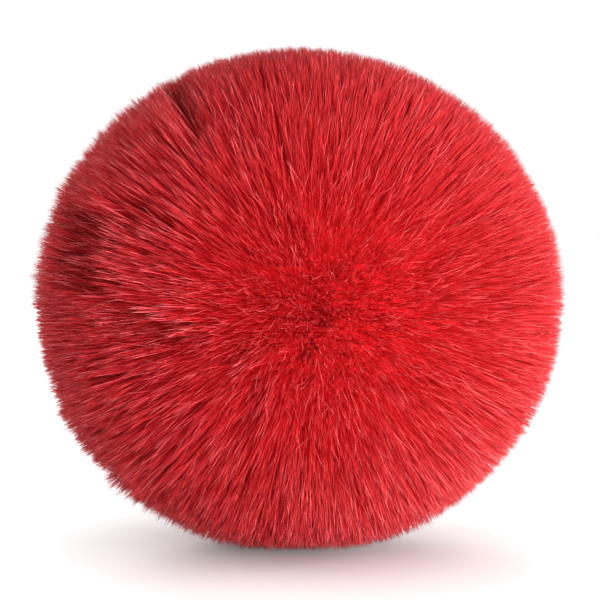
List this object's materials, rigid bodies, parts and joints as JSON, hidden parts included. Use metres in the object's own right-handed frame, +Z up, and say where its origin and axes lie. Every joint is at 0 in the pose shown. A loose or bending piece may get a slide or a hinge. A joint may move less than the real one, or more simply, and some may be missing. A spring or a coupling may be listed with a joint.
{
  "type": "cheer pom pom",
  "caption": "Soft round cheer pom: a ball of long red faux fur round a stuffed bag, with an elastic finger loop that swings on a bar in the nest at its back.",
  "frame": {"origin": "middle of the flat patch that the ball rests on, straight below the ball's centre", "axes": "+Z up; -Y out of the fur's whorl, which is the front; +Y out of the finger loop; +X to the right seen from the front"},
  "size_m": [0.1498, 0.14, 0.1439],
  "materials": {
    "fur": "long glossy acrylic pile",
    "knit_backing": "fine knit, matt",
    "filling": "loose polyester fibre",
    "thread": "twisted polyester, slight sheen",
    "stiffener": "fine moulded grain",
    "felt": "pressed felt, matt",
    "bracket": "moulded, satin",
    "rivet_metal": "nickel plated, satin",
    "webbing": "ribbed elastic webbing"
  },
  "bodies": {
    "root": {"fur_pile": "fur", "backing_fabric": "knit_backing", "stuffing": "filling", "gathering_thread": "thread", "gathering_knot": "thread", "stiffener_disc": "stiffener", "felt_patch": "felt", "felt_stitching": "thread", "loop_bracket": "bracket", "rivet_left": "rivet_metal", "rivet_right": "rivet_metal", "washer_left": "rivet_metal", "washer_right": "rivet_metal"},
    "loop": {"finger_loop": "webbing", "loop_stitching": "thread"}
  },
  "joints": [
    {"name": "loop_swing", "type": "hinge", "parent": "root", "child": "loop", "pos_m": [0, 0.0341, 0.0705], "axis": [1, 0, 0], "range_deg": [-40, 40]}
  ]
}
